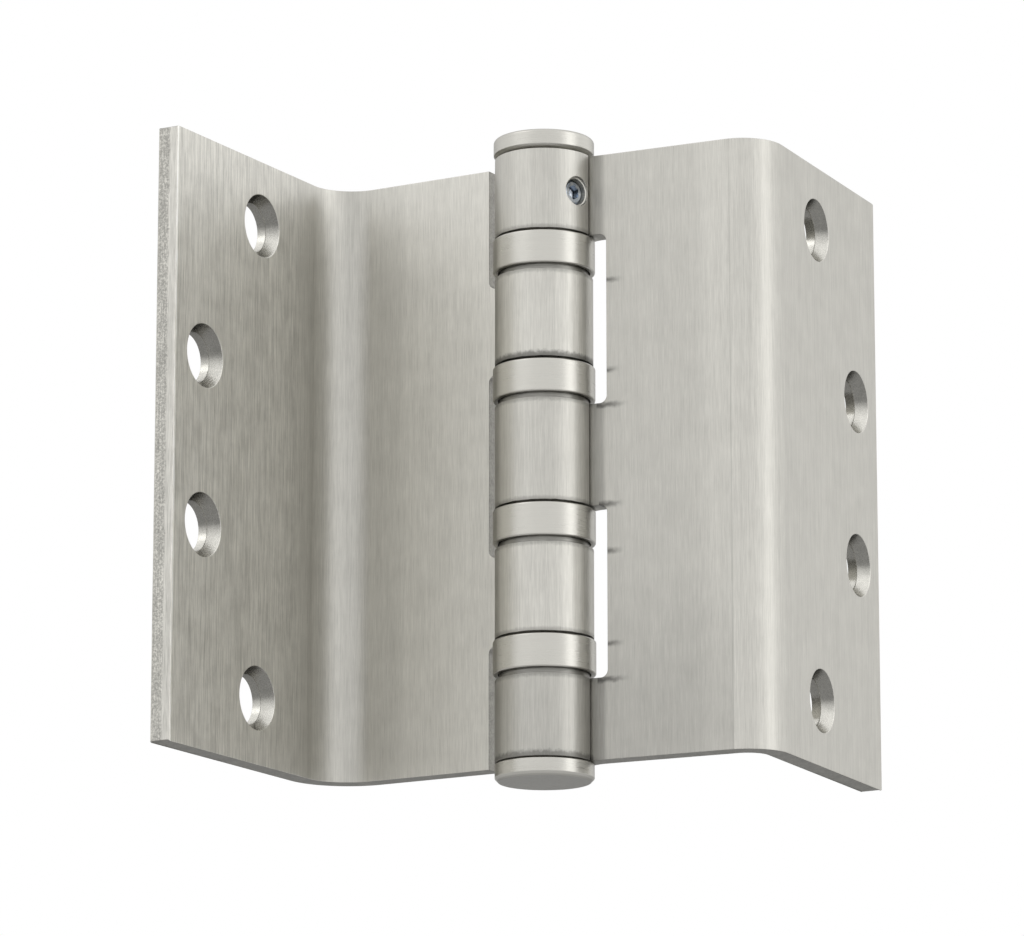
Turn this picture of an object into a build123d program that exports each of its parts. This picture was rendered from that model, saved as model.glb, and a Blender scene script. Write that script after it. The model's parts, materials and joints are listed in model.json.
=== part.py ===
"""Swing clear hinge with two nested leaves, five knuckles and four ball bearings."""
from build123d import *
from math import cos, radians, sqrt, tan
import os

# Leaves
LEAF_HEIGHT = 114.3
GAUGE = 4.1
CLOSED_GAP = 1.6
FRAME_ARM = 44.45
SCREW_LEG = 53.9
BEND_INSIDE_R = 4.0
DOOR_BEND_INSIDE_R = 8.0
FREE_EDGE_R = 0.45
FREE_CORNER_R = 0.9
OPEN_ANGLE = 184.5

# Pin and knuckles
PIN_D = 10.0
PIN_CLEARANCE = 0.05
PIN_TIP_CHAMFER = 0.5
END_KNUCKLE_H = 15.3
DOOR_KNUCKLE_H = 16.7
NOTCH_REACH = 12.3
NOTCH_CORNER_R = 1.4
SWAGE_R = 6.0
SEAM_SLIT = 0.45
SEAM_LIP_R = 0.5

# Screw holes, placed from the bend corner of the frame leaf
OUTER_PAIR_SPACING = 89.6
OUTER_PAIR_FROM_BEND = 24.7
INNER_PAIR_SPACING = 31.6
INNER_PAIR_FROM_BEND = 43.5
SCREW_HOLE_D = 9.3
COUNTERSINK_D = 11.9
COUNTERSINK_ANGLE = 66.0

# Ball bearings
COVER_H = 6.3
COVER_WALL = 0.95
COVER_TOP = 1.1
COVER_EDGE_R = 0.35
BOSS_INSET = 1.85
BOSS_H = 0.35
SEAT_CLEARANCE = 0.05
RACE_BORE_CLEARANCE = 0.25
RACE_PLAY = 0.2
RACE_SHOW = 1.05
UPPER_RACE_H = 1.3
BALL_D = 2.0
BALL_COUNT = 6
BALL_CLEARANCE = 0.04
GROOVE_DEPTH = 0.35
CAGE_H = 0.8
CAGE_WALL = 0.45

# Pin head, plug and set screw
HEAD_OVER = 0.25
HEAD_H = 2.9
HEAD_NECK_H = 0.8
HEAD_NECK_INSET = 0.75
HEAD_EDGE_R = 0.6
PLUG_H = 3.5
PLUG_NECK_H = 0.35
PLUG_NECK_INSET = 0.5
PLUG_CHAMFER = 0.7
PLUG_SHANK_L = 5.0
PLUG_TIP_CHAMFER = 0.4
PLUG_FIT = 0.02
PIN_END_GAP = 0.4
SET_SCREW_D = 4.8
SET_SCREW_CLEARANCE = 0.05
SET_SCREW_MOUTH_D = 5.5
SET_SCREW_MOUTH_DEPTH = 0.7
SET_SCREW_RECESS = 0.8
SET_SCREW_CHAMFER = 0.35
SET_SCREW_TAPER_H = 0.5
SHOULDER_GAP = 0.3
SET_SCREW_AZIMUTH = -20.5
DOG_D = 3.2
DOG_DEPTH = 0.9
DOG_CLEARANCE = 0.15
DOG_CHAMFER = 0.2
SOCKET_AF = 2.4
SOCKET_DEPTH = 1.6

# How far a cutting shape reaches past the surface that it cuts
OVERCUT = 1.0

# Values that follow from the sizes above
FACE_OFFSET = CLOSED_GAP / 2
BORE_R = PIN_D / 2 + PIN_CLEARANCE
KNUCKLE_R = BORE_R + GAUGE
DOOR_ARM = FRAME_ARM + CLOSED_GAP
FREE_END_Y = FACE_OFFSET + SCREW_LEG
STACK_H = SEAT_CLEARANCE + BOSS_H + COVER_H + RACE_SHOW
NOTCH_H = DOOR_KNUCKLE_H + 2 * STACK_H
MIDDLE_KNUCKLE_H = LEAF_HEIGHT - 2 * END_KNUCKLE_H - 2 * NOTCH_H
MID_Z = LEAF_HEIGHT / 2
SET_SCREW_Z = LEAF_HEIGHT - END_KNUCKLE_H / 2
GROOVE_R = BALL_D / 2 + BALL_CLEARANCE
POCKET_R = BALL_D / 2 + 2 * BALL_CLEARANCE
RACE_BORE_R = BORE_R + RACE_BORE_CLEARANCE
BALL_CIRCLE_R = RACE_BORE_R + CAGE_WALL + POCKET_R
RACE_R = BALL_CIRCLE_R + POCKET_R + CAGE_WALL
COVER_BORE_R = RACE_R + RACE_PLAY
COVER_R = COVER_BORE_R + COVER_WALL

# The origin is on the frame leaf's mounting face, midway between its outer screws
ORIGIN = Vector(FRAME_ARM - GAUGE, FACE_OFFSET + OUTER_PAIR_FROM_BEND, MID_Z)


def vertex_near(sketch, x, y):
    """Corner of a sketch that lies nearest to a point."""
    return min(sketch.vertices(), key=lambda v: (v.X - x) ** 2 + (v.Y - y) ** 2)


def leaf_section(arm, side):
    """Section of one leaf across the pin: rolled knuckle, arm, bend and screw leg.

    The arm runs along +X and the leg along +Y. Side is +1 for the frame leaf, which
    lies inside the bend of the other, and -1 for the door leaf, which lies outside.
    """
    face = side * FACE_OFFSET
    back = face + side * GAUGE
    leg_back = arm - side * GAUGE
    outline = Polyline(
        (0, face),
        (arm, face),
        (arm, FREE_END_Y),
        (leg_back, FREE_END_Y),
        (leg_back, back),
        (0, back),
        close=True,
    )
    strip = make_face(outline)
    if side > 0:
        face_r, back_r = BEND_INSIDE_R + GAUGE, BEND_INSIDE_R
    else:
        face_r, back_r = DOOR_BEND_INSIDE_R, DOOR_BEND_INSIDE_R + GAUGE
    strip = fillet(vertex_near(strip, arm, face), face_r)
    strip = fillet(vertex_near(strip, leg_back, back), back_r)
    for x in (arm, leg_back):
        strip = fillet(vertex_near(strip, x, FREE_END_Y), FREE_EDGE_R)
    section = strip + Circle(KNUCKLE_R)
    root_x = sqrt(KNUCKLE_R**2 - back**2)
    section = fillet(vertex_near(section, root_x, back), SWAGE_R)
    slit_y = face - side * SEAM_SLIT / 2
    slit = Pos(KNUCKLE_R, slit_y) * Rectangle(2 * GAUGE + OVERCUT, SEAM_SLIT)
    section = section - slit - Circle(BORE_R)
    lip_y = face - side * SEAM_SLIT
    lip_x = sqrt(KNUCKLE_R**2 - lip_y**2)
    return fillet(vertex_near(section, lip_x, lip_y), SEAM_LIP_R)


def notch(z_low, z_high):
    """Rounded block that clears the other leaf's knuckle and its two bearings."""
    height = z_high - z_low
    depth = NOTCH_REACH + 2 * KNUCKLE_R
    block = Pos(NOTCH_REACH - depth / 2, 0, (z_low + z_high) / 2) * Box(depth, 4 * KNUCKLE_R, height)
    far_edges = block.edges().filter_by(Axis.Y).group_by(Axis.X)[-1]
    return fillet(far_edges, NOTCH_CORNER_R)


def countersunk_hole(arm, side, y, z):
    """Screw hole through the leg, sunk from the side that the two leaves share."""
    cone_h = (COUNTERSINK_D - SCREW_HOLE_D) / 2 / tan(radians(COUNTERSINK_ANGLE / 2))
    shank = Cylinder(SCREW_HOLE_D / 2, 3 * GAUGE)
    cone = Pos(0, 0, -cone_h / 2) * Cone(SCREW_HOLE_D / 2, COUNTERSINK_D / 2, cone_h)
    mouth = Pos(0, 0, GAUGE / 2) * Cylinder(COUNTERSINK_D / 2, GAUGE)
    tool = shank + cone + mouth
    return Pos(arm, y, z) * Rot(0, side * 90, 0) * tool


def screw_places():
    """Place of each screw hole along the leg and up the leaf."""
    pairs = ((OUTER_PAIR_FROM_BEND, OUTER_PAIR_SPACING), (INNER_PAIR_FROM_BEND, INNER_PAIR_SPACING))
    for from_bend, spacing in pairs:
        for half in (-0.5, 0.5):
            yield FACE_OFFSET + from_bend, MID_Z + half * spacing


def leaf(arm, side, notches):
    """One leaf in the closed position, with the pin axis on Z."""
    body = extrude(leaf_section(arm, side), LEAF_HEIGHT)
    free_end = body.faces().sort_by(Axis.Y)[-1]
    corners = free_end.edges().filter_by(Axis.X)
    body = fillet(corners, FREE_CORNER_R)
    for z_low, z_high in notches:
        body = body - notch(z_low, z_high)
    for y, z in screw_places():
        body = body - countersunk_hole(arm, side, y, z)
    return body


def frame_leaf():
    """Leaf with the end and middle knuckles, threaded for the set screw."""
    lower = (END_KNUCKLE_H, END_KNUCKLE_H + NOTCH_H)
    upper = (LEAF_HEIGHT - lower[1], LEAF_HEIGHT - lower[0])
    body = leaf(FRAME_ARM, 1, (lower, upper))
    hole_r = SET_SCREW_D / 2 + SET_SCREW_CLEARANCE
    hole = Pos(0, 0, KNUCKLE_R / 2) * Cylinder(hole_r, KNUCKLE_R + 2 * OVERCUT)
    mouth = Pos(0, 0, KNUCKLE_R) * Cylinder(SET_SCREW_MOUTH_D / 2, 2 * SET_SCREW_MOUTH_DEPTH)
    return body - at_set_screw(hole + mouth)


def door_leaf():
    """Leaf with the two knuckles between the bearings, swung open."""
    ends = END_KNUCKLE_H + STACK_H
    middle = MIDDLE_KNUCKLE_H / 2 + STACK_H
    over = 2 * NOTCH_CORNER_R
    notches = (
        (-over, ends),
        (MID_Z - middle, MID_Z + middle),
        (LEAF_HEIGHT - ends, LEAF_HEIGHT + over),
    )
    return Rot(0, 0, -OPEN_ANGLE) * leaf(DOOR_ARM, -1, notches)


def at_set_screw(shape):
    """Turn a shape made along +Z to point out of the top knuckle at the set screw."""
    return Pos(0, 0, SET_SCREW_Z) * Rot(0, 0, SET_SCREW_AZIMUTH) * Rot(0, 90, 0) * shape


def revolved(points):
    """Solid of revolution about the pin axis from radius and height pairs."""
    face = make_face(Polyline(*[(r, 0, z) for r, z in points], close=True))
    return revolve(face, Axis.Z)


def hinge_pin():
    """Pin with its button head, and the groove that the set screw locks into."""
    pin_r = PIN_D / 2
    low = PLUG_SHANK_L + PIN_END_GAP
    top = LEAF_HEIGHT + HEAD_NECK_H + HEAD_H
    groove_r = pin_r - DOG_DEPTH
    groove_half = DOG_D / 2 + DOG_CLEARANCE
    head = revolved([
        (0, LEAF_HEIGHT),
        (KNUCKLE_R - HEAD_NECK_INSET, LEAF_HEIGHT),
        (KNUCKLE_R + HEAD_OVER, LEAF_HEIGHT + HEAD_NECK_H),
        (KNUCKLE_R + HEAD_OVER, top),
        (0, top),
    ])
    head = fillet(head.edges().group_by(Axis.Z)[-1], HEAD_EDGE_R)
    shaft = revolved([
        (0, low),
        (pin_r - PIN_TIP_CHAMFER, low),
        (pin_r, low + PIN_TIP_CHAMFER),
        (pin_r, SET_SCREW_Z - groove_half),
        (groove_r, SET_SCREW_Z - groove_half),
        (groove_r, SET_SCREW_Z + groove_half),
        (pin_r, SET_SCREW_Z + groove_half),
        (pin_r, LEAF_HEIGHT),
        (0, LEAF_HEIGHT),
    ])
    return shaft + head


def bottom_plug():
    """Plug pressed into the lowest knuckle, with a flat button face."""
    shank_r = BORE_R - PLUG_FIT
    head_r = KNUCKLE_R
    return revolved([
        (0, PLUG_SHANK_L),
        (shank_r - PLUG_TIP_CHAMFER, PLUG_SHANK_L),
        (shank_r, PLUG_SHANK_L - PLUG_TIP_CHAMFER),
        (shank_r, 0),
        (head_r - PLUG_NECK_INSET, 0),
        (head_r, -PLUG_NECK_H),
        (head_r, -PLUG_H + PLUG_CHAMFER),
        (head_r - PLUG_CHAMFER, -PLUG_H),
        (0, -PLUG_H),
    ])


def set_screw():
    """Dog point set screw with a hexagon socket, sunk below the knuckle."""
    screw_r = SET_SCREW_D / 2
    outer = KNUCKLE_R - SET_SCREW_RECESS
    shoulder = BORE_R + SHOULDER_GAP
    tip = PIN_D / 2 - DOG_DEPTH + DOG_CLEARANCE
    body = revolved([
        (0, tip),
        (DOG_D / 2 - DOG_CHAMFER, tip),
        (DOG_D / 2, tip + DOG_CHAMFER),
        (DOG_D / 2, shoulder),
        (screw_r, shoulder + SET_SCREW_TAPER_H),
        (screw_r, outer - SET_SCREW_CHAMFER),
        (screw_r - SET_SCREW_CHAMFER, outer),
        (0, outer),
    ])
    socket_r = SOCKET_AF / 2 / cos(radians(30))
    socket = extrude(Pos(0, 0, outer) * RegularPolygon(socket_r, 6), -SOCKET_DEPTH)
    return at_set_screw(body - socket)


def stack_levels():
    """Bottom of each bearing stack, from the top of the hinge down."""
    upper_notch_top = LEAF_HEIGHT - END_KNUCKLE_H
    lower_notch_top = END_KNUCKLE_H + NOTCH_H
    for notch_top in (upper_notch_top, lower_notch_top):
        yield notch_top - STACK_H
        yield notch_top - NOTCH_H


def groove(z):
    """Ring shaped tool that rolls a ball track at the height of the ball centres."""
    return Pos(0, 0, z) * Torus(BALL_CIRCLE_R, GROOVE_R)


def bearing(z):
    """Pieces of one bearing whose stack stands on the height z."""
    cover_top = z + STACK_H - SEAT_CLEARANCE - BOSS_H
    cover_low = cover_top - COVER_H
    ceiling = cover_top - COVER_TOP
    ball_z = ceiling - UPPER_RACE_H + GROOVE_DEPTH - BALL_D / 2 - BALL_CLEARANCE
    lower_top = ball_z - BALL_D / 2 - BALL_CLEARANCE + GROOVE_DEPTH
    cover = revolved([
        (RACE_BORE_R, ceiling),
        (COVER_BORE_R, ceiling),
        (COVER_BORE_R, cover_low),
        (COVER_R, cover_low),
        (COVER_R, cover_top),
        (COVER_R - BOSS_INSET, cover_top),
        (COVER_R - BOSS_INSET, cover_top + BOSS_H),
        (RACE_BORE_R, cover_top + BOSS_H),
    ])
    circles = cover.edges().filter_by(GeomType.CIRCLE)
    rim = circles.filter_by(lambda edge: abs(edge.radius - COVER_R) < 1e-6)
    cover = fillet(rim, COVER_EDGE_R)
    upper_race = revolved([
        (RACE_BORE_R, ceiling - UPPER_RACE_H),
        (COVER_BORE_R, ceiling - UPPER_RACE_H),
        (COVER_BORE_R, ceiling),
        (RACE_BORE_R, ceiling),
    ]) - groove(ball_z)
    lower_race = revolved([
        (RACE_BORE_R, z),
        (RACE_R, z),
        (RACE_R, lower_top),
        (RACE_BORE_R, lower_top),
    ]) - groove(ball_z)
    cage = cage_ring(ball_z)
    balls = [place * Sphere(BALL_D / 2) for place in ball_places(ball_z)]
    return cover, upper_race, lower_race, cage, balls


def ball_places(z):
    """Place of each ball of one bearing."""
    turn = 360 / BALL_COUNT
    return [Rot(0, 0, i * turn) * Pos(BALL_CIRCLE_R, 0, z) for i in range(BALL_COUNT)]


def cage_ring(z):
    """Flat retainer that keeps the balls apart, with one pocket for each."""
    ring = revolved([
        (RACE_BORE_R, z - CAGE_H / 2),
        (RACE_R, z - CAGE_H / 2),
        (RACE_R, z + CAGE_H / 2),
        (RACE_BORE_R, z + CAGE_H / 2),
    ])
    pocket = Cylinder(POCKET_R, 2 * CAGE_H)
    for place in ball_places(z):
        ring = ring - place * pocket
    return ring


def save(name, *solids):
    """Write one node, moved so that the origin lies on the mounting face."""
    moved = [Location(-ORIGIN) * solid for solid in solids]
    node = moved[0] if len(moved) == 1 else Compound(children=moved)
    export_step(node, f"parts/{name}.step")


def main():
    """Build every piece and write it as its own node."""
    os.makedirs("parts", exist_ok=True)
    save("frame_leaf", frame_leaf())
    save("door_leaf", door_leaf())
    save("hinge_pin", hinge_pin())
    save("bottom_plug", bottom_plug())
    save("set_screw", set_screw())
    all_balls = []
    for number, z in enumerate(stack_levels(), start=1):
        cover, upper_race, lower_race, cage, balls = bearing(z)
        save(f"bearing_cover_{number}", cover)
        save(f"upper_race_{number}", upper_race)
        save(f"lower_race_{number}", lower_race)
        save(f"ball_cage_{number}", cage)
        all_balls += balls
    save("bearing_balls", *all_balls)


main()
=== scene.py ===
"""Looks of the swing clear hinge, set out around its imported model."""

import json
import logging
from dataclasses import dataclass, replace
from enum import Enum
from math import acos, atan2, ceil, cos, degrees, pi, radians, sin, sqrt, tan
from typing import Any, Sequence

import bmesh
import bpy
from mathutils import Matrix, Vector, noise

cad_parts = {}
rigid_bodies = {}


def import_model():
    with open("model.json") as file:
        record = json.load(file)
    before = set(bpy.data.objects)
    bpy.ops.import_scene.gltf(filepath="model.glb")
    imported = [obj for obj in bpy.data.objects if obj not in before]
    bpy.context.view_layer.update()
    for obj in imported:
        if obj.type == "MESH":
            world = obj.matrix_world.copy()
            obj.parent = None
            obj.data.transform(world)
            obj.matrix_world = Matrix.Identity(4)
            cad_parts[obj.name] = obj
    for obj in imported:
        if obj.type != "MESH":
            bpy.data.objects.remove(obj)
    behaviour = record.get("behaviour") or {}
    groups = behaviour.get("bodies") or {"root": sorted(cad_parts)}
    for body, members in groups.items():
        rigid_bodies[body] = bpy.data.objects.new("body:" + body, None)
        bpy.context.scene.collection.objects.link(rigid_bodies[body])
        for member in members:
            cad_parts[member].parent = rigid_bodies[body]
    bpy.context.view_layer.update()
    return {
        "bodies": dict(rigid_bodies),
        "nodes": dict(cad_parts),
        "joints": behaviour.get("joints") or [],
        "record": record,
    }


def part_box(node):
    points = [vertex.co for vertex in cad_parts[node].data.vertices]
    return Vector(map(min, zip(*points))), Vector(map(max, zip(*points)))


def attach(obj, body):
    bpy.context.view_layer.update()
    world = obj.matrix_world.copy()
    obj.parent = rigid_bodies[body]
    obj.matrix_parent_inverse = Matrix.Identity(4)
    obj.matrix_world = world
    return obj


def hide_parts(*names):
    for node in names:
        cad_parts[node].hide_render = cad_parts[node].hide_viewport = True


log = logging.getLogger("hinge")

MM = 0.001
Point = tuple[float, float]
Colour = tuple[float, float, float, float]
Corner = tuple[float, float, float]
Piece = bpy.types.Object
Material = bpy.types.Material
Tree = bpy.types.NodeTree
Node = bpy.types.Node
Socket = bpy.types.NodeSocket


class Nest(Enum):
    """Which leaf it is when the hinge is closed."""

    INNER = 1
    OUTER = -1


class Grain(Enum):
    """Way that a surface was finished."""

    BRUSHED = "brushed along the height"
    TURNED = "turned around the pin"
    PLAIN = "tumbled, with no direction"


class Surface(Enum):
    """Surfaces of a leaf, in the order of its materials."""

    PLATE = 0
    SINK = 1
    CUT = 2


class Axis(Enum):
    """Directions that a stripe is measured along, on a closed leaf."""

    ARM = 0
    LEG = 1
    UP = 2


class Body(Enum):
    """Bodies that the pieces ride on."""

    FRAME = "frame"
    DOOR = "door"
    BALLS = "ball_sets"


class Slot(Enum):
    """Material slots of the record, which the turned pieces name."""

    LEAF = "leaf_steel"
    PIN = "pin_steel"
    COLLAR = "collar_steel"
    RACE = "race_steel"
    BALL = "ball_steel"
    SET_SCREW = "set_screw_steel"


@dataclass(frozen=True)
class Barrel:
    """Place of the pin axis and the sizes that the pieces on it share, in millimetres."""

    foot: Vector
    height: float
    knuckle_r: float
    bore_r: float
    head_r: float
    cover_r: float
    levels: tuple[float, ...]
    stack: float
    gauge: float = 4.1
    seat_gap: float = 0.05

    @classmethod
    def from_frame(cls, frame: dict[str, Any]) -> "Barrel":
        """Read the barrel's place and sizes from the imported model.


        Returns:
            The barrel of this hinge.
        """
        swing = next(j for j in frame["joints"] if j["name"] == "leaf_swing")
        low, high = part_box("frame_leaf")
        foot = Vector((swing["pos_m"][0], swing["pos_m"][1], low[2])) / MM
        levels = tuple(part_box(f"lower_race_{n}")[0][2] / MM - foot.z for n in range(1, 5))
        knuckle_r = cls.radius("bottom_plug")
        cover_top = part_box("bearing_cover_1")[1][2] / MM - foot.z
        return cls(
            foot=foot,
            height=(high[2] - low[2]) / MM,
            knuckle_r=knuckle_r,
            bore_r=knuckle_r - cls.gauge,
            head_r=cls.radius("hinge_pin"),
            cover_r=cls.radius("bearing_cover_1"),
            levels=levels,
            stack=cover_top - levels[0] + cls.seat_gap,
        )

    @staticmethod
    def radius(node: str) -> float:
        """Widest radius of a turned node, in millimetres."""
        low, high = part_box(node)
        return (high[0] - low[0]) / 2 / MM

    def above_foot(self, node: str) -> tuple[float, float]:
        """Lowest and highest point of a node, in millimetres above the leaves' foot."""
        low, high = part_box(node)
        return low[2] / MM - self.foot.z, high[2] / MM - self.foot.z

    def knuckle_ends(self) -> list[float]:
        """Heights at which a rolled knuckle ends beside a bearing."""
        return [end for level in self.levels for end in (level, level + self.stack)]

    def placed(self, turn: float = 0.0) -> Matrix:
        """Matrix from millimetres about the pin to the model's metres, after a turn in degrees."""
        spin = Matrix.Rotation(radians(turn), 4, "Z")
        return Matrix.Scale(MM, 4) @ Matrix.Translation(self.foot) @ spin


def grey(level: float) -> Colour:
    """Grey without a tint, at a given level."""
    return level, level, level, 1.0


def warm_grey(level: float) -> Colour:
    """Colour of bare stainless steel at a given level."""
    return level, level * 0.98, level * 0.908, 1.0


def radial(height: float, azimuth: float) -> Matrix:
    """Matrix that turns a tool along Z out from the pin, at a height and an azimuth."""
    outward = Matrix.Rotation(radians(90), 4, "Y")
    spin = Matrix.Rotation(radians(azimuth), 4, "Z")
    return Matrix.Translation((0, 0, height)) @ spin @ outward


def arc(
    centre: Point, radius: float, start: float, end: float, step: float = 5.0
) -> list[Point]:
    """Points along an arc, both ends included.

    Args:
        centre: centre of the arc.
        radius: its radius.
        start: first angle in degrees.
        end: last angle in degrees.
        step: widest step in degrees.

    Returns:
        The points in order.
    """
    count = max(2, ceil(abs(end - start) / step))
    angles = (radians(start + (end - start) * i / count) for i in range(count + 1))
    return [(centre[0] + radius * cos(a), centre[1] + radius * sin(a)) for a in angles]


def mesh_object(name: str, mesh: bpy.types.Mesh) -> Piece:
    """Make an object for a mesh and put it in the scene."""
    piece = bpy.data.objects.new(name, mesh)
    bpy.context.scene.collection.objects.link(piece)
    return piece


def from_bmesh(name: str, work: bmesh.types.BMesh) -> Piece:
    """Turn a finished bmesh into an object with outward normals.

    Args:
        name: name of the object and its mesh.
        work: the bmesh, which is freed.

    Returns:
        The new object.
    """
    bmesh.ops.remove_doubles(work, verts=work.verts, dist=1e-4)
    bmesh.ops.recalc_face_normals(work, faces=work.faces)
    mesh = bpy.data.meshes.new(name)
    work.to_mesh(mesh)
    work.free()
    return mesh_object(name, mesh)


def prism(name: str, outline: Sequence[Point], low: float, high: float) -> Piece:
    """Extrude a closed outline along Z.

    Args:
        name: name of the object.
        outline: corners in order, without the first again at the end.
        low: bottom of the prism.
        high: top of the prism.

    Returns:
        A closed prism.
    """
    work = bmesh.new()
    rings = [[work.verts.new((x, y, z)) for x, y in outline] for z in (low, high)]
    count = len(outline)
    for i in range(count):
        j = (i + 1) % count
        work.faces.new((rings[0][i], rings[0][j], rings[1][j], rings[1][i]))
    work.faces.new(rings[0])
    work.faces.new(rings[1])
    return from_bmesh(name, work)


def lathe(name: str, profile: Sequence[Point], steps: int = 160) -> Piece:
    """Turn a closed profile about Z.

    Args:
        name: name of the object.
        profile: radius and height pairs in order around the section.
        steps: number of steps around.

    Returns:
        A closed solid of revolution.
    """
    work = bmesh.new()
    columns = []
    for k in range(steps):
        a = 2 * pi * k / steps
        columns.append([work.verts.new((r * cos(a), r * sin(a), z)) for r, z in profile])
    count = len(profile)
    for k in range(steps):
        here, there = columns[k], columns[(k + 1) % steps]
        for i in range(count):
            j = (i + 1) % count
            if profile[i][0] < 1e-6 and profile[j][0] < 1e-6:
                continue
            work.faces.new((here[i], there[i], there[j], here[j]))
    bmesh.ops.remove_doubles(work, verts=work.verts, dist=1e-5)
    bmesh.ops.dissolve_degenerate(work, edges=work.edges, dist=1e-6)
    return from_bmesh(name, work)


def rounded(profile: Sequence[Point], radii: Sequence[float], step: float = 15.0) -> list[Point]:
    """Round the corners of a closed profile.

    Args:
        profile: corners in order.
        radii: radius at each corner, zero for a sharp one.
        step: widest step along each rounding in degrees.

    Returns:
        The profile with its corners rounded.
    """
    result: list[Point] = []
    count = len(profile)
    for i, (corner, radius) in enumerate(zip(profile, radii)):
        here = Vector(corner)
        before = (Vector(profile[i - 1]) - here).normalized()
        after = (Vector(profile[(i + 1) % count]) - here).normalized()
        half = acos(max(-1.0, min(1.0, before.dot(after)))) / 2
        if radius <= 0 or half > radians(89):
            result.append(corner)
            continue
        reach = radius / tan(half)
        centre = here + (before + after).normalized() * radius / sin(half)
        first = here + before * reach - centre
        last = here + after * reach - centre
        start = degrees(atan2(first.y, first.x))
        sweep = (degrees(atan2(last.y, last.x)) - start + 180) % 360 - 180
        result += arc((centre.x, centre.y), radius, start, start + sweep, step)
    return result


def turned(
    name: str, corners: Sequence[Corner], steps: int = 160
) -> Piece:
    """Turn a closed profile about Z, each corner given as radius, height and rounding."""
    profile = [(r, z) for r, z, _ in corners]
    return lathe(name, rounded(profile, [rounding for _, _, rounding in corners]), steps)


def cut(body: Piece, tools: Sequence[Piece]) -> None:
    """Cut tools out of a body and throw the tools away.

    Args:
        body: piece that is cut.
        tools: closed solids.
    """
    for tool in tools:
        step = body.modifiers.new("cut", "BOOLEAN")
        step.operation = "DIFFERENCE"
        step.solver = "EXACT"
        step.object = tool
    settle(body)
    for tool in tools:
        bpy.data.meshes.remove(tool.data)


def dress(
    piece: Piece,
    body: Body,
    nodes: Sequence[str],
    materials: Sequence[Material],
) -> Piece:
    """Give a finished piece its materials, its body and the nodes that it stands for.

    Args:
        piece: piece with its place already in its mesh.
        body: body that it rides on.
        nodes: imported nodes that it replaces.
        materials: its materials, in the order of its face indices.

    Returns:
        The same piece.
    """
    indices = [face.material_index for face in piece.data.polygons]
    piece.data.materials.clear()
    for material in materials:
        piece.data.materials.append(material)
    last = len(materials) - 1
    for face, index in zip(piece.data.polygons, indices):
        face.material_index = min(index, last)
    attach(piece, body.value)
    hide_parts(*nodes)
    return piece


def settle(piece: Piece) -> None:
    """Write a piece's modifiers into its mesh and remove them."""
    graph = bpy.context.evaluated_depsgraph_get()
    graph.update()
    mesh = bpy.data.meshes.new_from_object(piece.evaluated_get(graph))
    piece.modifiers.clear()
    old = piece.data
    piece.data = mesh
    mesh.name = piece.name
    bpy.data.meshes.remove(old)


def soften(piece: Piece, width: float, segments: int = 2, angle: float = 28.0) -> None:
    """Round the sharp edges of a piece; its flats stay flat shaded.

    Args:
        piece: piece still in millimetres.
        width: width of the rounding.
        segments: steps across it.
        angle: least angle of an edge that is rounded, in degrees.
    """
    bevel = piece.modifiers.new("edge", "BEVEL")
    bevel.limit_method = "ANGLE"
    bevel.angle_limit = radians(angle)
    bevel.width = width
    bevel.segments = segments
    bevel.use_clamp_overlap = False
    settle(piece)


def shade(piece: Piece, angle: float = 32.0) -> None:
    """Shade a piece smooth, with weighted normals and creases above an angle."""
    mesh = piece.data
    mesh.shade_smooth()
    mesh.set_sharp_from_angle(angle=radians(angle))
    weigh = piece.modifiers.new("normals", "WEIGHTED_NORMAL")
    weigh.keep_sharp = True
    weigh.weight = 80
    settle(piece)


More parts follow.
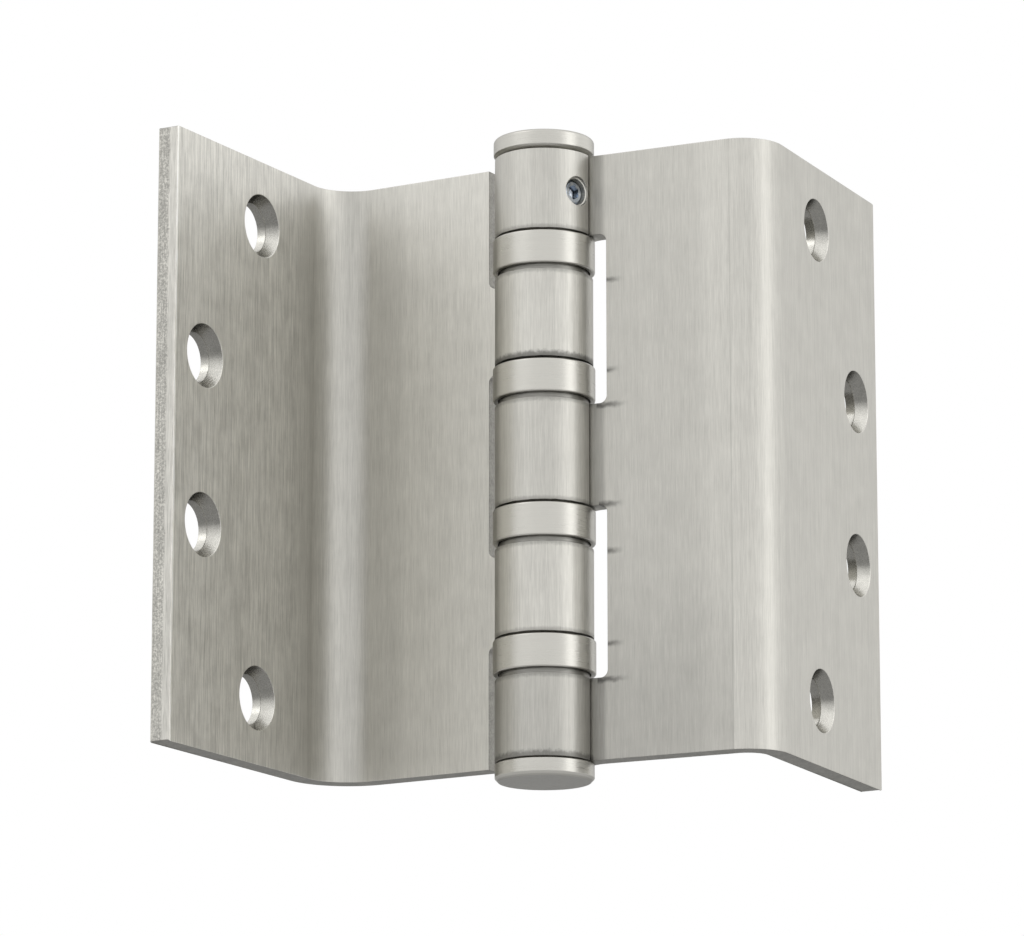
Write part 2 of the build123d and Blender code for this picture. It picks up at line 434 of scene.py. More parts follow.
class Wiring:
    """Short calls that add nodes to one tree and join them."""

    def __init__(self, tree: Tree) -> None:
        """Take the tree that the nodes go into."""
        self.tree = tree

    @classmethod
    def of(cls, owner: Material | bpy.types.World) -> "Wiring":
        """Wiring of a material or a world whose tree is emptied first."""
        owner.use_nodes = True
        owner.node_tree.nodes.clear()
        return cls(owner.node_tree)

    def node(self, kind: str, feeds: dict[Any, Any] | None = None, **settings: Any) -> Node:
        """Add a node, set its properties and feed its inputs.

        Args:
            kind: type of the node.
            feeds: socket or value for each input, by the input's name or number.
            settings: its properties.

        Returns:
            The node.
        """
        made = self.tree.nodes.new(kind)
        for key, value in settings.items():
            setattr(made, key, value)
        for key, value in (feeds or {}).items():
            if isinstance(value, Socket):
                self.tree.links.new(value, made.inputs[key])
            else:
                made.inputs[key].default_value = value
        return made

    def finish(self, out: Any, **results: Socket) -> None:
        """Feed the results to the inputs of a group's output node."""
        for key, socket in results.items():
            self.tree.links.new(socket, out[key])

    def math(self, operation: str, *values: Any) -> Socket:
        """Add a Math node for numbers or sockets and give its result."""
        return self.node("ShaderNodeMath", dict(enumerate(values)), operation=operation).outputs[0]

    def weighted(self, first: Any, second: Any, share: float) -> Socket:
        """Sum of two values, the second with the given share."""
        parts = (self.math("MULTIPLY", first, 1 - share), self.math("MULTIPLY", second, share))
        return self.math("ADD", *parts)

    def noise(self, place: Any, scale: Any, detail: float = 2.0, rough: float = 0.5) -> Socket:
        """Add a noise texture, with a number of finer layers, and give its value."""
        feeds = {"Vector": place, "Scale": scale, "Detail": detail, "Roughness": rough}
        return self.node("ShaderNodeTexNoise", feeds).outputs[0]

    def stray(self, place: Any, **settings: float) -> Socket:
        """Noise about zero, for a line that wanders."""
        return self.math("SUBTRACT", self.noise(place, **settings), 0.5)

    def spread(
        self, value: Any, low: float, high: float, to_low: float = 0.0, to_high: float = 1.0
    ) -> Socket:
        """Map a range smoothly to another and give the result."""
        feeds = {0: value, 1: low, 2: high, 3: to_low, 4: to_high}
        return self.node("ShaderNodeMapRange", feeds, interpolation_type="SMOOTHSTEP").outputs[0]

    def blend(self, factor: Any, first: Any, second: Any, kind: str = "MIX") -> Socket:
        """Mix two colours by the share of the second and give the result."""
        feeds = {0: factor, 6: first, 7: second}
        return self.node("ShaderNodeMix", feeds, data_type="RGBA", blend_type=kind).outputs[2]

    def toned(self, mask: Any, colour: Any, level: float) -> Socket:
        """Multiply a colour by a grey level where a mask says so."""
        return self.blend(mask, colour, grey(level), "MULTIPLY")

    def parts(self, place: Any) -> Any:
        """Sockets of a vector's three parts."""
        return self.node("ShaderNodeSeparateXYZ", {0: place}).outputs

    def joined(self, *values: Any) -> Socket:
        """Vector of three values."""
        return self.node("ShaderNodeCombineXYZ", dict(enumerate(values))).outputs[0]

    def from_pin(self, parts: Any) -> Socket:
        """Distance of a place, given by its parts, from the pin axis."""
        squares = [self.math("MULTIPLY", parts[i], parts[i]) for i in (0, 1)]
        return self.math("SQRT", self.math("ADD", *squares))


class Effects:
    """Surface effects that more than one finish uses, each a shader node group."""

    def __init__(self) -> None:
        """Build each group once."""
        self.brushing = self._brushing()
        self.mottle = self._mottle()
        self.band = self._band()
        self.gap_reflection = self._gap_reflection()
        self.fracture = self._fracture()

    @staticmethod
    def _group(
        name: str, inputs: dict[str, float | None], *outputs: str
    ) -> tuple[Wiring, Any, Any]:
        """Start a node group.

        Args:
            name: name of the group.
            inputs: default of each input, None for one that takes a vector.
            outputs: names of its value outputs.

        Returns:
            The group's wiring, the sockets that it is given and those that it puts out.
        """
        tree = bpy.data.node_groups.new(name, "ShaderNodeTree")
        for label, default in inputs.items():
            kind = "NodeSocketVector" if default is None else "NodeSocketFloat"
            socket = tree.interface.new_socket(name=label, in_out="INPUT", socket_type=kind)
            if default is not None:
                socket.default_value = default
        for label in outputs:
            tree.interface.new_socket(name=label, in_out="OUTPUT", socket_type="NodeSocketFloat")
        wires = Wiring(tree)
        return wires, wires.node("NodeGroupInput").outputs, wires.node("NodeGroupOutput").inputs

    def _brushing(self) -> Tree:
        """Fine scratches along Z, as a belt leaves them."""
        inputs = {"Place": None, "Line width": 0.16, "Line length": 9.0}
        wires, given, out = self._group("brushing", inputs, "Fine", "Broad")
        wide = wires.math("DIVIDE", 1.0, given["Line width"])
        long = wires.math("DIVIDE", 1.0, given["Line length"])
        stretch = {0: given["Place"], 1: wires.joined(wide, wide, long)}
        place = wires.node("ShaderNodeVectorMath", stretch, operation="MULTIPLY").outputs[0]
        fine = wires.noise(place, scale=1.0, detail=3.0, rough=0.65)
        broad = wires.noise(place, scale=0.22)
        wires.finish(out, Fine=wires.spread(fine, 0.36, 0.64), Broad=wires.spread(broad, 0.3, 0.7))
        return wires.tree

    def _mottle(self) -> Tree:
        """Soft cloudy change of tone."""
        wires, given, out = self._group("mottle", {"Place": None, "Size": 3.0}, "Tone")
        scale = wires.math("DIVIDE", 1.0, given["Size"])
        tone = wires.noise(given["Place"], scale, detail=4.0, rough=0.6)
        wires.finish(out, Tone=wires.spread(tone, 0.3, 0.7))
        return wires.tree

    def _band(self) -> Tree:
        """Mask that is 1 near a given value and fades on both sides of it."""
        inputs = {"Value": 0.0, "Middle": 0.0, "Reach": 1.0, "Fade": 1.0}
        wires, given, out = self._group("band", inputs, "Mask")
        away = wires.math("ABSOLUTE", wires.math("SUBTRACT", given["Value"], given["Middle"]))
        past = wires.math("DIVIDE", wires.math("SUBTRACT", away, given["Reach"]), given["Fade"])
        wires.finish(out, Mask=wires.spread(past, 0.0, 1.0, 1.0, 0.0))
        return wires.tree

    def _gap_reflection(self) -> Tree:
        """Mask of a painted reflection of a dark gap on the inner face, from an edge and fading
        along X.
        """
        inputs = {"Place": None, "Start": 0.0, "Length": 4.0, "Height": 0.0, "Thickness": 0.5}
        wires, given, out = self._group("gap_reflection", inputs, "Mask")
        parts = wires.parts(given["Place"])
        wander = wires.stray(given["Place"], scale=0.9, detail=3.0, rough=0.6)
        rise = wires.math("ADD", wires.math("SUBTRACT", parts[2], given["Height"]), wander)
        near = wires.math("DIVIDE", wires.math("ABSOLUTE", rise), given["Thickness"])
        along = wires.math("SUBTRACT", parts[0], given["Start"])
        along = wires.math("DIVIDE", along, given["Length"])
        back_of_arm, before_start = 3.0, -0.4
        masks = (
            wires.spread(near, 0.0, 1.0, 1.0, 0.0),
            wires.spread(along, 0.0, 1.0, 1.0, 0.0),
            wires.math("LESS_THAN", parts[1], back_of_arm),
            wires.math("GREATER_THAN", along, before_start),
        )
        reflected_streak, limited = wires.math("MULTIPLY", *masks[:2]), wires.math("MULTIPLY", *masks[2:])
        wires.finish(out, Mask=wires.math("MULTIPLY", reflected_streak, limited))
        return wires.tree

    def _fracture(self) -> Tree:
        """Torn part of a sheared edge, from its back to a wandering line across it."""
        inputs = {"Place": None, "Depth": 0.0, "Share": 0.55}
        wires, given, out = self._group("fracture", inputs, "Mask", "Grit")
        grit = wires.noise(given["Place"], scale=2.2, detail=5.0, rough=0.8)
        sway, blur = 0.25, 0.06
        wander = wires.math("MULTIPLY", wires.stray(given["Place"], scale=0.8), sway)
        line = wires.math("ADD", given["Share"], wander)
        past = wires.math("SUBTRACT", given["Depth"], wires.math("SUBTRACT", 1.0, line))
        wires.finish(out, Mask=wires.spread(past, -blur, blur), Grit=wires.spread(grit, 0.4, 0.6))
        return wires.tree


@dataclass(frozen=True)
class Ground:
    """What a finish is laid on: the material's wiring, the effects and the place."""

    wires: Wiring
    effects: Effects
    place: Socket

    def use(self, group: Tree, **values: Any) -> Any:
        """Place an effect's group, whose inputs are named with an underscore for a space."""
        feeds = {key.replace("_", " "): value for key, value in values.items()}
        return self.wires.node("ShaderNodeGroup", feeds, node_tree=group).outputs


@dataclass(frozen=True)
class Band:
    """Stripe of changed tone across a piece, in most places painted light or shade.

    It wanders by up to half of its wander, and where within is set it stays that near to the pin.
    """

    axis: Axis
    middle: float
    reach: float
    fade: float
    tone: float
    wander: float = 0.0
    within: float = 0.0


@dataclass(frozen=True)
class GapReflection:
    """Painted reflection of a dark bearing gap, which starts at a notch and fades along the leaf.
    """

    height: float
    start: float
    length: float
    thickness: float = 0.8
    tone: float = 0.38


@dataclass(frozen=True)
class ShearedEdge:
    """Free edge of a leaf, torn over a share of its thickness when it was cut."""

    end: float
    face_x: float
    back_x: float
    share: float = 0.6
    burnish: float = 0.84
    pits: float = 0.252
    glints: float = 1.332
    roughened: float = 0.2
    relief: float = 12.0
    starts_before_end: float = 0.3
    full_before_end: float = 0.1


@dataclass(frozen=True)
class Steel:
    """Stainless steel finish: tones, gloss, grain, the marks of its making, and painted light,
    shade and reflections.
    """

    name: str
    light: Colour
    dark: Colour
    roughness: float
    grain: Grain = Grain.BRUSHED
    line_width: float = 0.1
    line_length: float = 5.0
    grain_depth: float = 0.25
    bump_height: float = 0.02
    broad_share: float = 0.3
    mottle_size: float = 5.0
    mottle_share: float = 0.2
    gloss_change: float = 0.08
    turning_r: float = 9.0
    bands: tuple[Band, ...] = ()
    gap_reflections: tuple[GapReflection, ...] = ()
    sheared: ShearedEdge | None = None
    edge_tint: float = 0.6
    belt_from: float | None = None
    belt_fade: float = 5.0
    calm: float = 0.5

    def material(self, effects: Effects, centre: Vector, turn: float = 0.0) -> Material:
        """Build the material.

        Args:
            effects: the shared groups.
            centre: point in millimetres that the pattern is measured from.
            turn: turn about the pin in degrees that brings the piece to its closed place.

        Returns:
            The material.
        """
        material = bpy.data.materials.new(self.name)
        wires = Wiring.of(material)
        ground = Ground(wires, effects, self.place(wires, centre, turn))
        colour, roughness, height = self.surface(ground)
        colour = self.marked(ground, colour)
        if self.sheared:
            colour, roughness, height = self.torn(ground, colour, roughness, height)
        relief = {"Strength": self.grain_depth, "Distance": self.bump_height * MM, "Height": height}
        feeds = {
            "Metallic": 1.0,
            "Specular Tint": grey(self.edge_tint),
            "Base Color": colour,
            "Roughness": roughness,
            "Normal": wires.node("ShaderNodeBump", relief).outputs[0],
        }
        shader = wires.node("ShaderNodeBsdfPrincipled", feeds)
        wires.node("ShaderNodeOutputMaterial", {"Surface": shader.outputs[0]})
        return material

    @staticmethod
    def place(wires: Wiring, centre: Vector, turn: float) -> Socket:
        """Millimetres from the centre, once the piece is turned to its closed place."""
        feeds = {
            "Vector": wires.node("ShaderNodeTexCoord").outputs["Object"],
            "Scale": (1 / MM,) * 3,
            "Rotation": (0.0, 0.0, radians(turn)),
            "Location": -(Matrix.Rotation(radians(turn), 3, "Z") @ centre),
        }
        return wires.node("ShaderNodeMapping", feeds, vector_type="POINT").outputs[0]

    def around(self, ground: Ground) -> Socket:
        """Coordinates whose long way runs around the pin in place of along it."""
        wires = ground.wires
        parts = wires.parts(ground.place)
        along = wires.math("MULTIPLY", wires.math("ARCTAN2", parts[1], parts[0]), self.turning_r)
        return wires.joined(parts[2], wires.from_pin(parts), along)

    def surface(self, ground: Ground) -> tuple[Any, Any, Any]:
        """Lay the grain and the clouds over the surface.

        Args:
            ground: what the finish is laid on.

        Returns:
            Sockets of the colour, the roughness and the height.
        """
        wires, effects, place = ground.wires, ground.effects, ground.place
        lines = self.around(ground) if self.grain is Grain.TURNED else place
        width = self.line_width
        length = width if self.grain is Grain.PLAIN else self.line_length
        brushed = ground.use(effects.brushing, Place=lines, Line_width=width, Line_length=length)
        cloud = ground.use(effects.mottle, Place=place, Size=self.mottle_size)["Tone"]
        fine = brushed["Fine"]
        tone = wires.weighted(fine, brushed["Broad"], self.broad_share)
        tone = wires.weighted(tone, cloud, self.mottle_share)
        if self.belt_from is not None:
            leg = wires.parts(place)[Axis.LEG.value]
            force = wires.spread(leg, self.belt_from, self.belt_from + self.belt_fade, self.calm)
            swing = wires.math("MULTIPLY", wires.math("SUBTRACT", tone, 0.5), force)
            tone = wires.math("ADD", 0.5, swing)
            fine = wires.math("MULTIPLY", fine, force)
        colour = wires.blend(tone, self.dark, self.light)
        gloss = wires.math("MULTIPLY", tone, self.gloss_change)
        roughness = wires.math("ADD", self.roughness - self.gloss_change / 2, gloss)
        return colour, roughness, fine

    def marked(self, ground: Ground, colour: Any) -> Any:
        """Work the bands, some of them painted light and shade, and the painted gap reflections
        into the colour.

        Args:
            ground: what the finish is laid on.
            colour: colour without them.

        Returns:
            The colour's socket.
        """
        wires, effects, place = ground.wires, ground.effects, ground.place
        if self.bands:
            parts = wires.parts(place)
            stray = wires.stray(place, scale=1.3, detail=3.0, rough=0.65)
            radius = wires.from_pin(parts)
        for band in self.bands:
            value = parts[band.axis.value]
            if band.wander:
                value = wires.math("ADD", value, wires.math("MULTIPLY", stray, band.wander))
            mask = ground.use(
                effects.band, Value=value, Middle=band.middle, Reach=band.reach, Fade=band.fade
            )["Mask"]
            if band.within:
                mask = wires.math("MULTIPLY", mask, wires.math("LESS_THAN", radius, band.within))
            colour = wires.toned(mask, colour, band.tone)
        for gap_reflection in self.gap_reflections:
            mask = ground.use(
                effects.gap_reflection, Place=place, Start=gap_reflection.start, Length=gap_reflection.length,
                Height=gap_reflection.height, Thickness=gap_reflection.thickness,
            )["Mask"]
            colour = wires.toned(mask, colour, gap_reflection.tone)
        return colour

    def torn(self, ground: Ground, *surface: Any) -> tuple[Any, Any, Any]:
        """Work the torn part of the sheared edge into the surface.

        Args:
            ground: what the finish is laid on.
            surface: sockets of the colour, the roughness and the height without it.

        Returns:
            Sockets of the colour, the roughness and the height.
        """
        wires, place, edge = ground.wires, ground.place, self.sheared
        colour, roughness, height = surface
        parts = wires.parts(place)
        depth = wires.math("SUBTRACT", parts[0], edge.face_x)
        depth = wires.math("DIVIDE", depth, edge.back_x - edge.face_x)
        torn = ground.use(ground.effects.fracture, Place=place, Depth=depth, Share=edge.share)
        starts, full = edge.end - edge.starts_before_end, edge.end - edge.full_before_end
        on_end = wires.spread(parts[1], starts, full)
        mask = wires.math("MULTIPLY", torn["Mask"], on_end)
        grit = wires.blend(torn["Grit"], grey(edge.pits), grey(edge.glints))
        colour = wires.toned(on_end, colour, edge.burnish)
        colour = wires.blend(mask, colour, wires.blend(1.0, colour, grit, "MULTIPLY"))
        roughness = wires.math("ADD", roughness, wires.math("MULTIPLY", mask, edge.roughened))
        raised = wires.math("MULTIPLY", wires.math("MULTIPLY", torn["Grit"], mask), edge.relief)
        return colour, roughness, wires.math("ADD", height, raised)


@dataclass(kw_only=True)
class Leaf:
    """One bent leaf with its rolled knuckles, in millimetres about the pin axis."""

    barrel: Barrel
    name: str
    nest: Nest
    body: Body
    node: str
    arm: float
    bend_r: float
    turn: float
    free_end: float = 54.7
    offset: float = 0.8
    edge_r: float = 0.45
    corner_r: float = 0.9
    corner_rows: tuple[float, ...] = (1.0, 0.75)
    swage_r: float = 6.0
    seam: float = 0.45
    lip_r: float = 0.5
    notch_reach: float = 12.3
    notch_r: float = 1.4
    past_end: float = 3.0
    hole_r: float = 4.65
    rim_r: float = 5.95
    sink_depth: float = 2.0
    holes: tuple[Point, ...] = ((24.7, 89.6), (43.5, 31.6))
    ledge: float = 0.18
    softened: float = 0.15
    ragged: float = 0.09
    ragged_scale: float = 0.9
    ragged_past: float = 0.4
    stripe_past: float = 0.3

    def section(self) -> list[Point]:
        """Outline of the section across the pin, one closed strip from bore to free end."""
        side, e = self.nest.value, self.edge_r
        gauge, bore, roll = self.barrel.gauge, self.barrel.bore_r, self.barrel.knuckle_r
        back = self.offset + gauge
        face_r, back_r = self.bend_r + gauge, self.bend_r
        if self.nest is Nest.OUTER:
            face_r, back_r = back_r, face_r
        bend = (self.arm - face_r, self.offset + side * face_r)
        leg_back = self.arm - side * gauge
        end = side * self.free_end
        before_corner = [end - side * self.corner_r * share for share in self.corner_rows]
        points: list[Point] = [(sqrt(bore**2 - self.offset**2), self.offset)]
        points += arc(bend, face_r, -side * 90, 0, step=4)
        points += [(self.arm, v) for v in before_corner]
        for u, start in ((self.arm - side * e, 90), (leg_back + side * e, 180)):
            start -= side * 90
            points += arc((u, end - side * e), e, start, start + 90, step=15)
        points += [(leg_back, v) for v in reversed(before_corner)]
        points += arc(bend, back_r, 0, -side * 90, step=4)
        reach = roll + self.swage_r
        swage = (sqrt(reach**2 - (back + self.swage_r) ** 2), back + self.swage_r)
        root = degrees(atan2(swage[1], swage[0]))
        points += arc(swage, self.swage_r, 270, 180 + root, step=6)
        lip_v = self.offset - self.seam - self.lip_r
        lip = (sqrt((roll - self.lip_r) ** 2 - lip_v**2), lip_v)
        lip_angle = degrees(atan2(lip[1], lip[0]))
        points += arc((0, 0), roll, root, 360 + lip_angle, step=4)[:-1]
        points += arc(lip, self.lip_r, lip_angle, 90, step=22.5)
        seam_angle, start_angle = (
            degrees(atan2(v, sqrt(bore**2 - v**2))) for v in (self.offset - self.seam, self.offset)
        )
        points += arc((0, 0), bore, seam_angle, start_angle - 360, step=6)[:-1]
        return [(u, side * v) for u, v in points]

    def notches(self) -> list[Point]:
        """Lowest and highest point of each notch, none on a plain leaf."""
        return []

    def notch_tools(self) -> list[Piece]:
        """Rounded blocks that clear the other leaf's knuckles."""
        tools = []
        behind, wide = -40.0, 30.0
        for low, high in self.notches():
            reach, r = self.notch_reach, self.notch_r
            corners = [(behind, low), (reach, low), (reach, high), (behind, high)]
            outline = rounded(corners, (0, r, r, 0), step=10)
            tool = prism("notch", outline, -wide, wide)
            tool.data.transform(Matrix.Rotation(radians(90), 4, "X"))
            tools.append(tool)
        return tools

    def sink_tools(self) -> list[Piece]:
        """Turned tools that bore and sink the screw holes from the inner faces."""
        gauge = self.barrel.gauge
        profile = [
            (0, -3 * gauge),
            (self.hole_r, -3 * gauge),
            (self.hole_r, -self.sink_depth - self.ledge),
            (self.hole_r + self.ledge, -self.sink_depth),
            (self.rim_r, 0),
            (self.rim_r, gauge / 2),
            (0, gauge / 2),
        ]
        face = Matrix.Rotation(radians(self.nest.value * 90), 4, "Y")
        tools = []
        for along, spacing in self.holes:
            for half in (-0.5, 0.5):
                tool = lathe("sink", profile, steps=72)
                up = self.barrel.height / 2 + half * spacing
                place = Vector((self.arm, self.offset + along, up))
                tool.data.transform(Matrix.Translation(place) @ face)
                tools.append(tool)
        return tools

    def extra_tools(self) -> list[Piece]:
        """Further cuts, none on a plain leaf."""
        return []

    def mark_edges(self, piece: Piece) -> None:
        """Give the notches' sides and the plate's ends the finish of a cut edge."""
        high, steep, level = self.barrel.height, 0.7, 0.9
        for face in piece.data.polygons:
            middle, normal = face.center, face.normal
            side = abs(normal.x) > steep and abs(middle.x - self.notch_reach) < self.notch_r / 2
            end = abs(normal.z) > level and min(middle.z, high - middle.z) < self.softened
            if side or end:
                face.material_index = Surface.CUT.value

    def round_corners(self, piece: Piece) -> None:
        """Pull the vertices near the two free corners onto their rounding."""
        r, high = self.corner_r, self.barrel.height
        for vertex in piece.data.vertices:
            along = vertex.co.y - (self.free_end - r)
            low = vertex.co.z < high / 2
            centre_z = r if low else high - r
            up = (centre_z - vertex.co.z) if low else (vertex.co.z - centre_z)
            away = sqrt(along**2 + up**2)
            if along <= 0 or up <= 0 or away <= r:
                continue
            vertex.co.y = self.free_end - r + along * r / away
            vertex.co.z = centre_z + (-up if low else up) * r / away

    def roughen(self, piece: Piece) -> None:
        """Make the knuckles' ends slightly ragged, as sawn and rolled steel is."""
        for vertex in piece.data.vertices:
            x, y, z = vertex.co
            if x * x + y * y > (self.barrel.knuckle_r + self.ragged_past) ** 2:
                continue
            for end in self.barrel.knuckle_ends():
                if abs(z - end) < 2 * self.softened:
                    stray = noise.noise(Vector((x, y, end)) * self.ragged_scale)
                    vertex.co.z += self.ragged * stray

    def ends(self) -> list[float]:
        """Heights of the knuckle ends above the barrel's middle, as the finishes measure."""
        return [end - self.barrel.height / 2 for end in self.barrel.knuckle_ends()]

    def end_stripe(self, end: float, **sizes: float) -> Band:
        """Darker stripe around a knuckle's end."""
        return Band(Axis.UP, end, **sizes, within=self.barrel.knuckle_r + self.stripe_past)

    def end_stripes(self) -> list[Band]:
        """Faint darker stripe at every knuckle end."""
        sizes = {"reach": 0.25, "fade": 0.75, "tone": 0.7, "wander": 0.9}
        return [self.end_stripe(end, **sizes) for end in self.ends()]

    def sheared(self) -> ShearedEdge:
        """Free edge, from the inner face to the back."""
        return ShearedEdge(self.free_end, self.arm, self.arm - self.nest.value * self.barrel.gauge)

    def steel(self) -> Steel:
        """Finish of the leaf's faces."""
        return Steel(self.name, warm_grey(0.65), warm_grey(0.485), 0.4, sheared=self.sheared())

    def sink_steel(self) -> Steel:
        """Finish of the sunk screw holes, with painted shade on their upper sides."""
        heights = [side * spread / 2 for _, spread in self.holes for side in (-1, 1)]
        return Steel(
            "sunk_screw_holes", warm_grey(0.86), warm_grey(0.62), 0.26, Grain.PLAIN,
            line_width=0.25, mottle_size=4.0,
            # Painted shade on the upper side of each hole's countersink.
            bands=tuple(
                Band(Axis.UP, height + self.rim_r, reach=4.0, fade=4.0, tone=0.4)
                for height in heights
            ),
        )

    @staticmethod
    def edge_steel() -> Steel:
        """Finish of the cut edges."""
        return Steel(
            "cut_edges", warm_grey(0.44), warm_grey(0.25), 0.42, Grain.PLAIN,
            line_width=0.4, mottle_size=3.0,
        )

    def build(self, effects: Effects) -> Piece:
        """Make the leaf, cut and soften it, and dress it.

        Args:
            effects: the shared surface effects.

        Returns:
            The finished piece.
        """
        steels = {
            Surface.PLATE: self.steel(),
            Surface.SINK: self.sink_steel(),
            Surface.CUT: self.edge_steel(),
        }
        piece = prism(self.name, self.section(), 0, self.barrel.height)
        sinks = self.sink_tools()
        for tool in [piece, *sinks]:
            for surface in steels:
                tool.data.materials.append(bpy.data.materials.new(f"draft_{surface.value}"))
        for tool in sinks:
            for face in tool.data.polygons:
                face.material_index = Surface.SINK.value
        cut(piece, self.notch_tools() + self.extra_tools() + sinks)
        soften(piece, self.softened)
        self.mark_edges(piece)
        self.round_corners(piece)
        self.roughen(piece)
        shade(piece)
        piece.data.transform(self.barrel.placed(self.turn))
        centre = self.barrel.foot + Vector((0, 0, self.barrel.height / 2))
        finishes = [steel.material(effects, centre, -self.turn) for steel in steels.values()]
        return dress(piece, self.body, [self.node], finishes)


@dataclass(kw_only=True)
class FrameLeaf(Leaf):
    """Leaf with the end and middle knuckles and the hole of the set screw."""

    name: str = "brushed_frame_leaf"
    nest: Nest = Nest.INNER
    body: Body = Body.FRAME
    node: str = "frame_leaf"
    arm: float = 44.45
    bend_r: float = 4.0
    turn: float = 0.0
    screw_z: float = 106.65
    screw_azimuth: float = -20.5
    screw_hole_r: float = 2.45
    mouth_r: float = 2.75
    mouth_depth: float = 0.7
    # Painted reflections of the dark gaps at the bearings: knuckle end, shift and length of each.
    crease: float = 37.2
    reflected_gaps: tuple[tuple[int, float, float], ...] = (
        (0, -1.2, 4.0), (2, -0.5, 5.0), (3, -1.6, 3.0), (4, -1.0, 4.0),
        (5, 0.1, 4.0), (6, -0.5, 5.0), (7, -1.6, 4.0),
    )

    def notches(self) -> list[Point]:
        """Notches for the door leaf's two knuckles and the bearings at their ends."""
        levels, stack = self.barrel.levels, self.barrel.stack
        return [(levels[3], levels[2] + stack), (levels[1], levels[0] + stack)]

    def extra_tools(self) -> list[Piece]:
        """Hole of the set screw with its sunk mouth."""
        outside = self.barrel.knuckle_r
        inner_end, outer_end = 2.0, outside + 2
        profile = [
            (0, inner_end),
            (self.screw_hole_r, inner_end),
            (self.screw_hole_r, outside - self.mouth_depth),
            (self.mouth_r, outside - self.mouth_depth),
            (self.mouth_r, outer_end),
            (0, outer_end),
        ]
        tool = lathe("tap", profile, steps=48)
        tool.data.transform(radial(self.screw_z, self.screw_azimuth))
        return [tool]

    def steel(self) -> Steel:
        """Even belt finish with painted light and shade across the arm, and painted reflections of
        the bearing gaps at the notches.
        """
        half, ends = self.barrel.height / 2, self.ends()
        bands = (
            # Painted light on the strip before the bend, and painted shade along the crease beside
            # it.
            Band(Axis.ARM, middle=39.6, reach=2.3, fade=0.2, tone=1.06),
            Band(Axis.ARM, middle=self.crease, reach=0.03, fade=0.2, tone=0.85, wander=0.1),
            # Painted shade in the swage's hollow beside the barrel, a darker stripe across the
            # arm's middle, and painted shade that darkens the arm towards its foot.
            Band(Axis.ARM, middle=10.6, reach=0.5, fade=1.3, tone=0.7),
            Band(Axis.ARM, middle=22.0, reach=7.0, fade=5.0, tone=0.9),
            Band(Axis.UP, middle=-half, reach=8.0, fade=34.0, tone=0.87, within=self.crease),
            *self.end_stripes(),
            self.end_stripe(-half, reach=0.5, fade=0.9, tone=0.5, wander=1.6),
        )
        start = self.notch_reach
        # Painted reflections of the bearing gaps, from the notches along the arm.
        gap_reflections = tuple(GapReflection(ends[n] + shift, start, length) for n, shift, length in self.reflected_gaps)
        return replace(super().steel(), bands=bands, gap_reflections=gap_reflections)


@dataclass(kw_only=True)
class DoorLeaf(Leaf):
    """Leaf with the two knuckles between, which lies around the frame leaf when closed."""

    name: str = "brushed_door_leaf"
    nest: Nest = Nest.OUTER
    body: Body = Body.DOOR
    node: str = "door_leaf"
    arm: float = 46.05
    bend_r: float = 8.0
    turn: float = -184.5

    def notches(self) -> list[Point]:
        """Notches for the frame leaf's three knuckles, open at both ends of the leaf."""
        levels, stack = self.barrel.levels, self.barrel.stack
        return [
            (-self.past_end, levels[3] + stack),
            (levels[2], levels[1] + stack),
            (levels[0], self.barrel.height + self.past_end),
        ]

    def steel(self) -> Steel:
        """Coarser belt finish on the screw leg, with painted shade along its bend and a painted
        highlight at its free edge.
        """
        bands = (
            # Painted shade along the bend, and a stripe of painted shade on the arm before it.
            Band(Axis.ARM, middle=40.8, reach=1.4, fade=2.0, tone=0.86),
            Band(Axis.ARM, middle=34.5, reach=1.5, fade=3.5, tone=0.92),
            # Painted highlight at the free edge, and a paler run up to it.
            Band(Axis.LEG, middle=54.1, reach=0.2, fade=0.1, tone=1.55),
            Band(Axis.LEG, middle=38.0, reach=18.0, fade=8.0, tone=1.07),
            *self.end_stripes(),
            self.end_stripe(self.ends()[3], reach=0.5, fade=0.9, tone=0.5, wander=1.4),
        )
        light, dark = warm_grey(0.8), warm_grey(0.42)
        return replace(
            super().steel(), light=light, dark=dark, grain_depth=0.5, belt_from=9.5, bands=bands
        )


@dataclass
class TurnedPiece:
    """Piece turned about the pin axis, with a rounding at each corner of its profile."""

    name: str
    node: str
    body: Body
    slot: Slot
    corners: Sequence[Corner]
    finish: Steel

    def build(self, barrel: Barrel, effects: Effects) -> Piece:
        """Turn the piece and dress it.

        Args:
            barrel: place of the pin axis.
            effects: the shared surface effects.

        Returns:
            The finished piece.
        """
        piece = turned(self.name, self.corners)
        shade(piece)
        piece.data.transform(barrel.placed())
        material = self.finish.material(effects, barrel.foot)
        return dress(piece, self.body, [self.node], [material])


